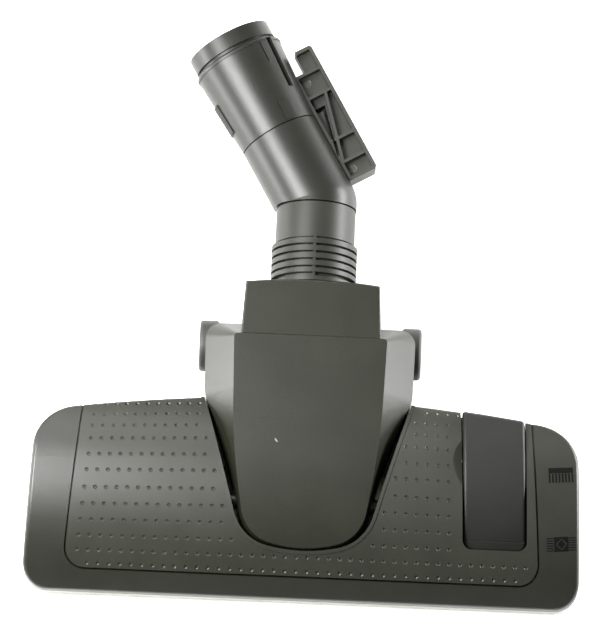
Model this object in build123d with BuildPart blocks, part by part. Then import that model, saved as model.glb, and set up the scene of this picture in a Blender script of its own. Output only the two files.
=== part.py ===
"""Floor head of a vacuum cleaner: a wide arched head on a pale sole, a rocker pedal that lowers
a brush, a tilting neck arm on two wheels, and a swivelling elbow with a tube connector.

Millimetres. The origin lies on the floor under the middle of the head's front land.
+X is to the right seen from the front, +Y runs to the rear along the neck, +Z is up.
A depth is a distance to the rear of the head's front edge.
"""

import os
from math import asin, cos, degrees, radians, sin, sqrt, tan

from build123d import *

os.makedirs("parts", exist_ok=True)

# Head outline in plan
front_y = -10.0
head_width = 278.0
head_depth = 99.0
side_taper = 2.6
rear_slope = 8.0
front_corner_radius = 12.0
rear_corner_radius = 24.0
rear_bow = 1.0

# Arched top of the head, seen from the side
crest_depth = 62.0
crest_height = 40.0
front_edge_height = 15.6
rear_edge_height = 28.0
shell_wall = 2.4
edge_round = 2.2

# Pale base with the sole
base_height = 10.5
base_inset = 0.8
floor_thickness = 3.0
sole_edge_radius = 1.6
mouth_width = 62.0
mouth_front = 29.5
mouth_rear = 61.0
channel_width = 12.0
channel_depth = 1.6
channel_inset = 21.0
channel_setback = 1.5
mouth_corner_radius = 14.0

# Dimpled panel let into the top
panel_front = 9.0
panel_border = 19.5
panel_taper = 4.6
panel_corner_radius = 10.0
panel_thickness = 2.0
panel_bed_gap = 0.1
panel_groove = 0.9
bed_wall = 1.8
lip_width = 1.7
lip_height = 0.5
dimple_rows = (11.9, 18.0, 24.8, 32.3, 40.1, 48.3, 57.2, 65.3, 73.8, 80.9, 87.4, 93.2)
dimple_columns = 21
dimple_pitch = 5.5
dimple_fan_margin = 6.7
dimple_row_lean = 0.06
dimple_radius = 1.15
dimple_floor_radius = 0.5
dimple_depth = 0.55
dimple_sides = 6
dimple_edge_gap = 2.6
dimple_lip_gap = 2.2
dimple_pedal_gap = 3.4
scoop_depth = 69.0
scoop_apex = 5.5
scoop_angle = 14.0

# Opening for the neck arm
opening_front = 21.3
opening_corner_half = 31.5
opening_corner_depth = 27.5
opening_flare = 16.0
opening_corner_radius = 22.0
well_wall = 1.5
well_floor_front = 67.0
well_floor_gap = 0.35

# Tilting neck arm
tilt_depth = 46.0
tilt_height = 27.0
barrel_radius = 24.0
arm_gap = 1.2
arm_wall = 2.2
split_height = 31.0
tip_lip = 0.8
skirt_corner_radius = 20.0
skirt_waist_half = 38.0
skirt_waist_depth = 62.0
hip_half = 52.2
hip_depth = 100.5
hip_radius = 20.0
cheek_half = 52.8
cheek_rear = 137.0
cheek_corner_radius = 8.0
tongue_front = 27.0
tongue_corner_half = 27.5
tongue_corner_depth = 33.0
tongue_corner_radius = 16.0
tongue_waist_half = 33.3
tongue_waist_depth = 60.0
tongue_hip_half = 36.4
tongue_rear_half = 38.0
tongue_rear = 127.6
tongue_rear_corner = 1.5
tongue_bend_height = 46.2
tongue_bend_depth = 84.0
tongue_rear_height = 47.6
loft_top = 48.0
block_front_half = 35.8
block_rear_half = 33.7
block_rear = 155.6
block_bow = 2.0
block_height = 46.0
block_lap = 12.0
block_edge_round = 1.0
mouth_angle = 230.0
mouth_drop = 12.0
arm_floor_height = 14.2
arm_floor_front = 64.0
arm_step_depth = 103.0
arm_bottom = 3.0
trunnion_radius = 3.8
running_gap = 0.05
bearing_width = 6.0
bearing_wall = 2.7
bearing_foot = 18.0
bearing_gap = 0.4
trunnion_slot_gap = 0.7
trunnion_end_gap = 0.5

# Wheels
wheel_radius = 13.0
wheel_width = 10.0
wheel_depth = 129.4
wheel_outer = 56.0
wheel_well_gap = 1.2
axle_radius = 2.0
axle_inner = 36.0
tread_thickness = 2.0
tread_round = 1.8
tread_lip = 0.6
wheel_dish = 2.5
wheel_rim = 2.0
hub_wall = 2.5
axle_boss_wall = 2.2
axle_end_gap = 0.8

# Neck tube, swivel and elbow
floor_gap = 0.2
duct_radius = 16.2
collar_band_radius = 21.6
collar_core_radius = 18.6
collar_groove_count = 6
collar_groove_start = 5.3
collar_groove_pitch = 3.86
collar_groove_width = 1.3
collar_relief_width = 2.0
collar_web_width = 1.5
collar_web_drop = 0.3
collar_block_gap = 0.2
collar_socket = 4.0
collar_tube_radius = 20.0
collar_tube_length = 18.4
swivel_depth = 16.0
swivel_wall = 0.9
seal_length = 2.0
elbow_radius = 20.4
elbow_bend = 30.0
bend_offset = 4.0
elbow_length = 40.0
seam_gap = 0.7

# Connector for the tube
tube_bore_radius = 17.6
connector_seam = 0.6
cone_length = 46.0
flange_radius = 23.5
flange_length = 2.2
flange_step = 0.4
flange_chamfer = 0.8
flange_groove_width = 2.0
flange_groove_depth = 3.0
rim_radius = 22.0
rim_length = 10.0
spigot_length = 12.0
spigot_radius = 18.4
spigot_gap = 0.1
stop_depth = 11.0
latch_slot_width = 2.0
latch_slot_start = 17.5
latch_slot_end = 45.6
latch_slot_angle = 47.0
latch_ledge_width = 1.8
latch_ledge_depth = 0.8
grip_rib_count = 5
grip_rib_start = 11.0
grip_rib_length = 17.0
grip_rib_width = 0.8
grip_rib_height = 0.7
grip_rib_step = 4.6
grip_rib_lift = 6.0
latch_line_offset = 18.0
latch_line_length = 13.0
latch_line_width = 0.7
latch_line_depth = 0.6
latch_ridge_width = 1.2
latch_ridge_height = 0.5
latch_pad_offset = 26.0
latch_pad_start = 1.2
latch_pad_length = 10.5
latch_pad_width = 5.2
latch_pad_height = 0.45
strip_overlap = 0.6

# Parking rail beside the elbow
rail_length = 73.2
rail_end = 34.8
rail_reach = 35.7
rail_free_reach = 26.8
rail_height = 11.0
rail_wall = 1.8
rail_rib_wall = 1.4
rail_pocket_depth = 4.0
rail_web = 1.5
rail_ribs = (12.7, 25.2, 50.3, 62.7)
rail_corner = 1.4
rail_tip_corner = 1.0
rail_foot_wall = 1.6
rail_seat = 0.4
rail_seat_gap = 0.05
brace_top_inset = 3.0
brace_wall = 1.5
brace_slot_start = 30.8
brace_slot_width = 2.4
brace_slot_end = 59.0

# Rocker pedal
pedal_inset = 44.5
pedal_width = 31.0
pedal_corner_radius = 4.0
pedal_front = 26.0
pedal_pivot_setback = 39.5
pedal_pivot_height = 27.0
pedal_throw = 15.0
pedal_rise = 0.6
pedal_gap = 0.6
pedal_skin = 2.2
pedal_skirt = 2.0
pedal_rear_inset = 0.3
pedal_boss_radius = 4.0
pedal_pin_radius = 1.5
pedal_foot_arm = 20.0
pedal_foot_radius = 2.6
pedal_groove_inset = 5.0
pedal_groove_width = 0.6
pedal_groove_depth = 0.5
pedal_edge_round = 1.6
pedal_rear_round = 3.6
pedal_skirt_drop = 2.0
pedal_well_bottom = 22.0
pedal_notch_bottom = 19.0

# Brush frame and bristles
brush_bar_width = 6.0
brush_bar_height = 3.8
brush_front_depth = 10.5
brush_side_inset = 23.0
brush_floor_gap = 0.4
bristle_width = 3.0
bristle_end_inset = 4.0
bristle_slot_end = 1.0
bristle_seat = 2.0
bristle_clearance = 0.1
bristle_slot_gap = 0.7
bristle_lift = 0.6
guide_radius = 1.8
guide_gap = 0.3
guide_inset = 12.0
guide_rise = 1.5
lift_post_radius = 2.5
lift_post_gap = 0.3
leaf_thickness = 0.5
leaf_width = 5.0
leaf_half_span = 16.0
leaf_end = 1.0
leaf_play = 0.05

# Housing screws and velour strips
screw_x = 66.0
screw_front = 30.0
screw_rear = 67.0
screw_radius = 1.5
screw_head_radius = 3.1
screw_head_height = 1.6
screw_sink = 0.2
screw_head_gap = 0.3
screw_cross_length = 3.6
screw_cross_width = 0.9
screw_length = 15.0
screw_boss_radius = 4.0
screw_boss_gap = 0.5
lifter_length = 58.0
lifter_width = 7.0
lifter_thickness = 0.9
lifter_recess = 0.5
lifter_gap = 0.3
lifter_corner = 1.0
lifter_clear = 3.0

# Values that follow from the sizes above
slope_tangent = tan(radians(rear_slope))
taper_tangent = tan(radians(side_taper))
flare_tangent = tan(radians(opening_flare))
panel_taper_tangent = tan(radians(panel_taper))
half_front = head_width / 2 + front_corner_radius * taper_tangent
panel_half = head_width / 2 - panel_border
front_fall = crest_height - front_edge_height
rear_fall = crest_height - rear_edge_height
rear_run = head_depth - crest_depth
front_arch_radius = (crest_depth**2 + front_fall**2) / (2 * front_fall)
rear_arch_radius = (rear_run**2 + rear_fall**2) / (2 * rear_fall)
opening_rear_half = opening_corner_half + (head_depth - opening_corner_depth) * flare_tangent
neck_height = flange_radius + floor_gap
pedal_x = head_width / 2 - pedal_inset
pedal_pivot_depth = head_depth - pedal_pivot_setback
brush_rear_depth = pedal_pivot_depth + pedal_foot_arm
brush_side_x = head_width / 2 - brush_side_inset
brush_depths = (brush_front_depth, brush_rear_depth)
bristle_length = 2 * (brush_side_x - bristle_end_inset)
brush_travel = 2 * pedal_foot_arm * sin(radians(pedal_throw / 2))
brush_bar_bottom = floor_thickness + brush_floor_gap + brush_travel
brush_bar_top = brush_bar_bottom + brush_bar_height
pedal_y = front_y + pedal_pivot_depth
tilt_y = front_y + tilt_depth
wheel_y = front_y + wheel_depth
tongue_tip_height = split_height + tip_lip
skirt_front = tilt_depth - sqrt(barrel_radius**2 - (split_height - tilt_height) ** 2)
above_all = 2 * crest_height
beyond_sides = head_width
run_out = head_depth / 4
collar_front = block_rear - collar_socket
groove_depths = [
    block_rear + collar_groove_start + index * collar_groove_pitch for index in range(collar_groove_count)
]
seam_depth = groove_depths[-1] + collar_groove_width / 2 + collar_tube_length
swivel_start = seam_depth - swivel_depth
bend_depth = seam_depth + bend_offset


def y_at(depth):
    """Place along Y of a depth behind the front edge."""
    return front_y + depth


def arch_height(depth):
    """Height of the arched top at a depth."""
    radius = front_arch_radius if depth < crest_depth else rear_arch_radius
    return crest_height - radius + sqrt(radius**2 - (depth - crest_depth) ** 2)


def head_plan(inset):
    """Outline of the head from above, drawn in by inset."""
    rear_half = half_front - head_depth * taper_tangent - opening_rear_half * taper_tangent * slope_tangent
    rear_half = rear_half / (1 - taper_tangent * slope_tangent)
    rear_corner_depth = head_depth - (rear_half - opening_rear_half) * slope_tangent
    bow_x = (rear_half + opening_rear_half) / 2
    bow_y = y_at((rear_corner_depth + head_depth) / 2 + rear_bow)
    with BuildSketch() as plan:
        with BuildLine():
            Polyline(
                (-rear_half, y_at(rear_corner_depth)),
                (-half_front, y_at(0)),
                (half_front, y_at(0)),
                (rear_half, y_at(rear_corner_depth)),
            )
            ThreePointArc(
                (rear_half, y_at(rear_corner_depth)), (bow_x, bow_y), (opening_rear_half, y_at(head_depth))
            )
            Line((opening_rear_half, y_at(head_depth)), (-opening_rear_half, y_at(head_depth)))
            ThreePointArc(
                (-opening_rear_half, y_at(head_depth)), (-bow_x, bow_y), (-rear_half, y_at(rear_corner_depth))
            )
        make_face()
        fillet(plan.vertices().filter_by(lambda v: v.Y < y_at(1)), front_corner_radius)
        rear_vertices = plan.vertices().filter_by(lambda v: v.Y > y_at(head_depth / 2))
        fillet(rear_vertices.filter_by(lambda v: abs(v.X) > opening_rear_half + 1), rear_corner_radius)
        if inset:
            offset(amount=-inset)
    return plan.sketch


def arch_profile(drop):
    """Side view under the arched top, lowered by drop, down to the floor."""
    front_radius = front_arch_radius - drop
    rear_radius = rear_arch_radius - drop
    ahead = -2 * rear_bow
    behind = head_depth + 2 * rear_bow
    front_z = crest_height - front_arch_radius + sqrt(front_radius**2 - (crest_depth - ahead) ** 2)
    rear_z = crest_height - rear_arch_radius + sqrt(rear_radius**2 - (behind - crest_depth) ** 2)
    crest = (y_at(crest_depth), crest_height - drop)
    with BuildSketch(Plane.YZ) as profile:
        with BuildLine():
            RadiusArc((y_at(ahead), front_z), crest, front_radius)
            RadiusArc(crest, (y_at(behind), rear_z), rear_radius)
            Polyline((y_at(behind), rear_z), (y_at(behind), 0), (y_at(ahead), 0), (y_at(ahead), front_z))
        make_face()
    return profile.sketch


def panel_plan(inset):
    """Outline of the panel's bed from above; it runs out over the rear edge."""
    run = head_depth + run_out
    rear_half = panel_half - (run - panel_front) * panel_taper_tangent
    with BuildSketch() as plan:
        with BuildLine():
            Polyline(
                (-panel_half, y_at(panel_front)),
                (panel_half, y_at(panel_front)),
                (rear_half, y_at(run)),
                (-rear_half, y_at(run)),
                close=True,
            )
        make_face()
        fillet(plan.vertices().filter_by(lambda v: v.Y < y_at(panel_front + 1)), panel_corner_radius)
        if inset:
            offset(amount=-inset)
    return plan.sketch


def opening_plan(grow):
    """U-shaped opening for the neck arm, from above, grown by grow."""
    run = head_depth + run_out
    run_half = opening_corner_half + (run - opening_corner_depth) * flare_tangent
    corner = y_at(opening_corner_depth)
    with BuildSketch() as plan:
        with BuildLine():
            left = (-opening_corner_half, corner)
            right = (opening_corner_half, corner)
            ThreePointArc(left, (0, y_at(opening_front)), right)
            Polyline(right, (run_half, y_at(run)), (-run_half, y_at(run)), left)
        make_face()
        fillet(plan.vertices().filter_by(lambda v: v.Y < corner + 1), opening_corner_radius)
        if grow:
            offset(amount=grow)
    return plan.sketch


def pedal_plan(grow):
    """Strip of the top that the pedal takes up, running out over the rear edge."""
    run = head_depth + run_out
    half = pedal_width / 2 + grow
    front = pedal_front - grow
    front_x = pedal_x + (pedal_pivot_depth - front) * taper_tangent
    rear_x = pedal_x - (run - pedal_pivot_depth) * taper_tangent
    with BuildSketch() as plan:
        with BuildLine():
            Polyline(
                (front_x - half, y_at(front)),
                (front_x + half, y_at(front)),
                (rear_x + half, y_at(run)),
                (rear_x - half, y_at(run)),
                close=True,
            )
        make_face()
        fillet(plan.vertices().filter_by(lambda v: v.Y < y_at(front + 1)), pedal_corner_radius + grow)
    return plan.sketch


def arm_outline(front, corner, waist, hip, rear, corner_radius, rear_radius):
    """Outline of the arm from above through half widths at depths, with rounded corners."""
    spots = [(half, y_at(depth)) for half, depth in (corner, waist, hip, rear)]
    mirrored = [(-half, depth) for half, depth in spots]
    with BuildSketch() as plan:
        with BuildLine():
            ThreePointArc(mirrored[0], (0, y_at(front)), spots[0])
            ThreePointArc(spots[0], spots[1], spots[2])
            Polyline(spots[2], spots[3], mirrored[3], mirrored[2])
            ThreePointArc(mirrored[2], mirrored[1], mirrored[0])
        make_face()
        fillet(plan.vertices().filter_by(lambda v: abs(v.Y - spots[0][1]) < 0.1), corner_radius)
        fillet(plan.vertices().filter_by(lambda v: abs(v.Y - spots[2][1]) < 0.1), hip_radius)
        fillet(plan.vertices().filter_by(lambda v: abs(v.Y - spots[3][1]) < 0.1), rear_radius)
    return plan.sketch


def skirt_plan(inset):
    """Outline of the arm at the split line: it fills the opening and spreads into the cheeks."""
    return arm_outline(
        skirt_front + inset,
        (opening_corner_half - arm_gap - inset, opening_corner_depth + arm_gap + inset),
        (skirt_waist_half - inset, skirt_waist_depth),
        (hip_half - inset, hip_depth + inset),
        (cheek_half - inset, cheek_rear - inset),
        skirt_corner_radius - inset,
        cheek_corner_radius - inset,
    )


def tongue_plan(inset):
    """Outline of the arm where its sloping sides reach the tongue's top."""
    return arm_outline(
        tongue_front + inset,
        (tongue_corner_half - inset, tongue_corner_depth + inset),
        (tongue_waist_half - inset, tongue_waist_depth),
        (tongue_hip_half - inset, hip_depth + inset),
        (tongue_rear_half - inset, tongue_rear - inset),
        tongue_corner_radius - inset,
        tongue_rear_corner,
    )


def block_plan(inset):
    """Outline of the block behind the cheeks from above, its rear edge bowed."""
    front = tongue_rear - block_lap
    rear = block_rear - inset
    with BuildSketch() as plan:
        with BuildLine():
            Polyline(
                (inset - block_rear_half, y_at(rear)),
                (inset - block_front_half, y_at(front)),
                (block_front_half - inset, y_at(front)),
                (block_rear_half - inset, y_at(rear)),
            )
            ThreePointArc(
                (block_rear_half - inset, y_at(rear)),
                (0, y_at(rear + block_bow)),
                (inset - block_rear_half, y_at(rear)),
            )
        make_face()
    return plan.sketch


def upper_side(inset):
    """Side view of the arm above the split line, its top lowered by inset."""
    tip = tilt_depth - sqrt(barrel_radius**2 - (tongue_tip_height - tilt_height) ** 2)
    tip_top = tongue_tip_height - inset
    rise = tongue_bend_height - tongue_tip_height
    with BuildSketch(Plane.YZ) as side:
        with BuildLine():
            ThreePointArc(
                (y_at(tip), tip_top),
                (y_at(tip + 0.45 * (tongue_bend_depth - tip)), tip_top + 0.655 * rise),
                (y_at(tongue_bend_depth), tongue_bend_height - inset),
            )
            Polyline(
                (y_at(tongue_bend_depth), tongue_bend_height - inset),
                (y_at(tongue_rear), tongue_rear_height - inset),
                (y_at(cheek_rear), tongue_rear_height - inset),
                (y_at(cheek_rear), split_height / 2),
                (y_at(tip), split_height / 2),
                (y_at(tip), tip_top),
            )
        make_face()
    return side.sketch


def upper_form(inset):
    """Tongue and cheeks above the split line, drawn in by inset."""
    with BuildPart() as form:
        with BuildSketch(Plane.XY.offset(split_height)):
            add(skirt_plan(inset))
        with BuildSketch(Plane.XY.offset(loft_top)):
            add(tongue_plan(inset))
        loft(ruled=True)
        extrude(upper_side(inset), amount=beyond_sides, both=True, mode=Mode.INTERSECT)
    return form.part


def lower_side(inset, drop):
    """Side view of the arm below the split line; a cavity drops out through the mouth by drop."""
    radius = barrel_radius - inset
    start = 180.0 - degrees(asin((split_height - tilt_height) / radius))
    end = radians(mouth_angle)
    mouth = (tilt_y + radius * cos(end), tilt_height + radius * sin(end))
    floor = arm_floor_height + inset
    step = y_at(arm_step_depth + inset)
    rear = y_at(block_rear + block_bow - inset)
    spots = [mouth]
    if drop:
        spots.append((mouth[0], mouth[1] - drop))
        spots.append((y_at(arm_floor_front), arm_floor_height - drop))
    spots.append((y_at(arm_floor_front), floor))
    spots.extend([(step, floor), (step, arm_bottom + inset), (rear, arm_bottom + inset), (rear, split_height)])
    with BuildSketch(Plane.YZ) as side:
        with BuildLine():
            CenterArc((tilt_y, tilt_height), radius, start, mouth_angle - start)
            Polyline(*spots, (tilt_y + radius * cos(radians(start)), split_height))
        make_face()
    return side.sketch


def save(builder, name):
    """Labels a finished piece and writes it."""
    builder.part.label = name
    export_step(builder.part, f"parts/{name}.step")


# Shape of the head above the base, with its top edge rounded: frame and panel are cut from it
with BuildPart() as head_form:
    with BuildSketch(Plane.XY.offset(base_height)):
        add(head_plan(0))
    extrude(amount=above_all)
    extrude(arch_profile(0), amount=beyond_sides, both=True, mode=Mode.INTERSECT)
    crown = head_form.faces().filter_by(lambda face: face.normal_at().Z > 0.5)
    fillet(crown.edges().filter_by(lambda edge: edge.center().Z < crest_height - 0.5), edge_round)

# Upper frame: arched housing with a bed for the panel, the neck well and the pedal well
screw_spots = [(side * screw_x, y_at(depth)) for side in (-1, 1) for depth in (screw_front, screw_rear)]
with BuildPart() as upper_frame:
    add(head_form.part)
    with BuildPart(mode=Mode.SUBTRACT):
        extrude(head_plan(shell_wall), amount=above_all)
        extrude(
            arch_profile(panel_thickness + bed_wall), amount=beyond_sides, both=True, mode=Mode.INTERSECT
        )
    with BuildPart(mode=Mode.SUBTRACT):
        extrude(panel_plan(0), amount=above_all)
        extrude(arch_profile(panel_thickness), amount=beyond_sides, both=True, mode=Mode.SUBTRACT)
    extrude(opening_plan(0), amount=above_all, mode=Mode.SUBTRACT)
    with BuildPart():
        with BuildSketch(Plane.XY.offset(brush_bar_top + well_floor_gap)):
            add(opening_plan(well_wall))
            add(opening_plan(0), mode=Mode.SUBTRACT)
        extrude(amount=above_all)
        extrude(head_plan(0), amount=above_all, mode=Mode.INTERSECT)
        extrude(arch_profile(panel_thickness), amount=beyond_sides, both=True, mode=Mode.INTERSECT)
        with BuildSketch(Plane.YZ):
            with Locations((tilt_y, tilt_height)):
                Circle(trunnion_radius + trunnion_slot_gap)
            with Locations((tilt_y, tilt_height / 2)):
                Rectangle(2 * (trunnion_radius + trunnion_slot_gap), tilt_height)
        extrude(amount=beyond_sides, both=True, mode=Mode.SUBTRACT)
    with BuildPart():
        with BuildSketch(Plane.XY.offset(brush_bar_top + well_floor_gap)):
            add(opening_plan(well_wall))
            with BuildSketch(mode=Mode.INTERSECT):
                with Locations((0, y_at(well_floor_front))):
                    Rectangle(head_width, head_depth, align=(Align.CENTER, Align.MIN))
            add(head_plan(shell_wall), mode=Mode.INTERSECT)
        extrude(amount=arm_floor_height - brush_bar_top - 2 * well_floor_gap)
    with BuildSketch(Plane.XY.offset(pedal_notch_bottom)):
        add(pedal_plan(pedal_gap))
    extrude(amount=above_all, mode=Mode.SUBTRACT)
    with BuildPart():
        with BuildSketch(Plane.XY.offset(pedal_well_bottom)):
            add(pedal_plan(pedal_gap + well_wall))
            add(pedal_plan(pedal_gap), mode=Mode.SUBTRACT)
        extrude(amount=above_all)
        extrude(head_plan(0), amount=above_all, mode=Mode.INTERSECT)
        extrude(arch_profile(panel_thickness), amount=beyond_sides, both=True, mode=Mode.INTERSECT)
    with BuildSketch(Plane.YZ.offset(pedal_x)):
        with Locations((pedal_y, pedal_pivot_height)):
            Circle(pedal_pin_radius + running_gap)
    extrude(amount=pedal_width, both=True, mode=Mode.SUBTRACT)
    with BuildPart():
        with BuildSketch(Plane.XY.offset(floor_thickness)):
            with Locations(*screw_spots):
                Circle(screw_boss_radius)
                Circle(screw_radius + running_gap, mode=Mode.SUBTRACT)
        extrude(amount=above_all)
        extrude(
            arch_profile(panel_thickness + screw_boss_gap), amount=beyond_sides, both=True, mode=Mode.INTERSECT
        )
save(upper_frame, "upper_frame")

# Dimple panel: thin arched insert with rows of dimples and a raised lip round the neck opening
with BuildSketch() as dimple_field:
    add(panel_plan(panel_groove + dimple_edge_gap))
    add(head_plan(edge_round + dimple_edge_gap), mode=Mode.INTERSECT)
    add(opening_plan(lip_width + dimple_lip_gap), mode=Mode.SUBTRACT)
    add(pedal_plan(pedal_gap + dimple_pedal_gap), mode=Mode.SUBTRACT)


def dimple_places():
    """Places of the dimples, square to the arch, in rows and fanned columns."""
    front_row = dimple_rows[0]
    places = []
    for row in dimple_rows:
        groove_half = panel_half - (row - panel_front) * panel_taper_tangent
        fan = (groove_half - dimple_fan_margin) / (panel_half - dimple_fan_margin)
        lean = dimple_row_lean * (row - front_row) / (dimple_rows[-1] - front_row)
        for column in range(-dimple_columns, dimple_columns):
            x = (column + 0.5) * dimple_pitch * fan
            depth = row - lean * (abs(x) - pedal_x + pedal_width / 2)
            if any(face.is_inside((x, y_at(depth), 0)) for face in dimple_field.faces()):
                radius = front_arch_radius if depth < crest_depth else rear_arch_radius
                turn = degrees(asin((crest_depth - depth) / radius))
                places.append(Location((x, y_at(depth), arch_height(depth)), (turn, 0, 0)))
    return places


with BuildPart() as dimple_pit:
    with BuildSketch(Plane.XY.offset(-dimple_depth)):
        RegularPolygon(dimple_floor_radius, dimple_sides)
    with BuildSketch(Plane.XY.offset(dimple_depth)):
        RegularPolygon(2 * dimple_radius - dimple_floor_radius, dimple_sides)
    loft(ruled=True)
scoop_turn = asin((scoop_depth - crest_depth) / rear_arch_radius)
scoop_lean = radians(scoop_angle)
scoop_plane = Plane(
    origin=(pedal_x - pedal_width / 2 - scoop_apex, y_at(scoop_depth), arch_height(scoop_depth)),
    x_dir=(cos(scoop_lean), -sin(scoop_lean) * sin(scoop_turn), -sin(scoop_lean) * cos(scoop_turn)),
    z_dir=(sin(scoop_lean), cos(scoop_lean) * sin(scoop_turn), cos(scoop_lean) * cos(scoop_turn)),
)
with BuildPart() as dimple_panel:
    add(head_form.part)
    extrude(panel_plan(panel_groove), amount=above_all, mode=Mode.INTERSECT)
    with BuildPart():
        extrude(opening_plan(lip_width), amount=above_all)
        extrude(head_plan(0), amount=above_all, mode=Mode.INTERSECT)
        extrude(arch_profile(-lip_height), amount=beyond_sides, both=True, mode=Mode.INTERSECT)
    extrude(
        arch_profile(panel_thickness - panel_bed_gap), amount=beyond_sides, both=True, mode=Mode.SUBTRACT
    )
    extrude(opening_plan(0), amount=above_all, mode=Mode.SUBTRACT)
    extrude(pedal_plan(pedal_gap), amount=above_all, mode=Mode.SUBTRACT)
    with BuildSketch(scoop_plane):
        Rectangle(scoop_apex + pedal_width / 2, pedal_width, align=(Align.MIN, Align.CENTER))
    extrude(amount=panel_thickness, mode=Mode.SUBTRACT)
    with Locations(*dimple_places()):
        add(dimple_pit.part, mode=Mode.SUBTRACT)
save(dimple_panel, "dimple_panel")

# Sole base: shallow pale tray with the suction mouth, the cross channel and the bristle slots
guide_spots = [
    (side * brush_side_x, y_at(depth))
    for side in (-1, 1)
    for depth in (brush_front_depth + guide_inset, brush_rear_depth - guide_inset)
]
mouth_middle = (mouth_front + mouth_rear) / 2
channel_middle = mouth_front + channel_setback + channel_width / 2
lifter_y = y_at(mouth_rear - lifter_width / 2)
lifter_x = mouth_width / 2 + lifter_length / 2 + lifter_clear
with BuildPart() as sole_base:
    extrude(head_plan(base_inset), amount=base_height)
    fillet(sole_base.faces().sort_by(Axis.Z)[0].outer_wire().edges(), sole_edge_radius)
    with BuildSketch(Plane.XY.offset(floor_thickness)):
        add(head_plan(base_inset + shell_wall))
    extrude(amount=base_height, mode=Mode.SUBTRACT)
    with BuildSketch():
        with Locations((0, y_at(mouth_middle))):
            RectangleRounded(mouth_width, mouth_rear - mouth_front, mouth_corner_radius)
        with Locations(*[(0, y_at(depth)) for depth in brush_depths]):
            SlotOverall(
                bristle_length + 2 * (bristle_slot_gap + bristle_slot_end), bristle_width + 2 * bristle_slot_gap
            )
        with Locations(*screw_spots):
            Circle(screw_radius + running_gap)
    extrude(amount=floor_thickness, mode=Mode.SUBTRACT)
    with BuildSketch():
        with Locations((0, y_at(channel_middle))):
            Rectangle(head_width - 2 * channel_inset, channel_width)
    extrude(amount=channel_depth, mode=Mode.SUBTRACT)
    with BuildSketch():
        with Locations((-lifter_x, lifter_y), (lifter_x, lifter_y)):
            RectangleRounded(lifter_length + 2 * lifter_gap, lifter_width + 2 * lifter_gap, lifter_corner)
    extrude(amount=lifter_recess, mode=Mode.SUBTRACT)
    with BuildSketch():
        with Locations(*screw_spots):
            Circle(screw_head_radius + screw_head_gap)
    extrude(amount=screw_sink + screw_head_height, mode=Mode.SUBTRACT)
    with BuildSketch(Plane.XY.offset(floor_thickness)):
        with Locations(*guide_spots):
            Circle(guide_radius)
    extrude(amount=brush_bar_top - floor_thickness + guide_rise)
save(sole_base, "sole_base")

# Housing screws, driven up from the sole
with BuildPart() as housing_screws:
    with BuildSketch(Plane.XY.offset(screw_sink)):
        with Locations(*screw_spots):
            Circle(screw_head_radius)
    extrude(amount=screw_head_height)
    with BuildSketch(Plane.XY.offset(screw_sink + screw_head_height)):
        with Locations(*screw_spots):
            Circle(screw_radius)
    extrude(amount=screw_length)
    with BuildSketch(Plane.XY.offset(screw_sink)):
        with Locations(*screw_spots):
            Rectangle(screw_cross_length, screw_cross_width)
            Rectangle(screw_cross_width, screw_cross_length)
    extrude(amount=screw_head_height / 2, mode=Mode.SUBTRACT)
save(housing_screws, "housing_screws")

# Velour thread lifters, glued beside the mouth
for side, side_name in ((-1, "left"), (1, "right")):
    with BuildPart() as thread_lifter:
        with BuildSketch(Plane.XY.offset(lifter_recess - lifter_thickness / 2)):
            with Locations((side * lifter_x, lifter_y)):
                RectangleRounded(lifter_length, lifter_width, lifter_corner)
        extrude(amount=lifter_thickness / 2)
    save(thread_lifter, f"thread_lifter_{side_name}")

# Bearing blocks for the trunnions, standing on the base
bearing_clear = opening_corner_half + (tilt_depth + bearing_foot / 2 - opening_corner_depth) * flare_tangent
bearing_inner = bearing_clear + well_wall / cos(radians(opening_flare)) + bearing_gap
bearing_round = trunnion_radius + bearing_wall
for side, side_name in ((-1, "left"), (1, "right")):
    with BuildPart() as trunnion_bearing:
        with BuildSketch(Plane.YZ.offset(side * bearing_inner)):
            with BuildLine():
                Polyline(
                    (tilt_y - bearing_foot / 2, floor_thickness),
                    (tilt_y + bearing_foot / 2, floor_thickness),
                    (tilt_y + bearing_round, tilt_height),
                    (tilt_y - bearing_round, tilt_height),
                    close=True,
                )
            make_face()
            with Locations((tilt_y, tilt_height)):
                Circle(bearing_round)
                Circle(trunnion_radius + running_gap, mode=Mode.SUBTRACT)
        extrude(amount=side * bearing_width)
    save(trunnion_bearing, f"trunnion_bearing_{side_name}")

# Pedal pin
with BuildPart() as pedal_pin:
    with BuildSketch(Plane.YZ.offset(pedal_x)):
        with Locations((pedal_y, pedal_pivot_height)):
            Circle(pedal_pin_radius)
    extrude(amount=pedal_width / 2 + pedal_gap + well_wall, both=True)
save(pedal_pin, "pedal_pin")

# Rocker pedal, tilted to its front-down rest
rest_tilt = radians(pedal_throw / 2)
pedal_plane = Plane(
    origin=(pedal_x, pedal_y, pedal_pivot_height),
    x_dir=(0, cos(rest_tilt), sin(rest_tilt)),
    z_dir=(1, 0, 0),
)
pedal_ahead = pedal_pivot_depth - pedal_front
pedal_behind = head_depth + rear_bow - pedal_pivot_depth
crest_ahead = crest_depth - pedal_pivot_depth


def pedal_top(reach, drop):
    """Height over the pivot of the arch at a reach behind it, in the flush position."""
    return arch_height(pedal_pivot_depth + reach) - pedal_pivot_height + pedal_rise - drop


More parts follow.
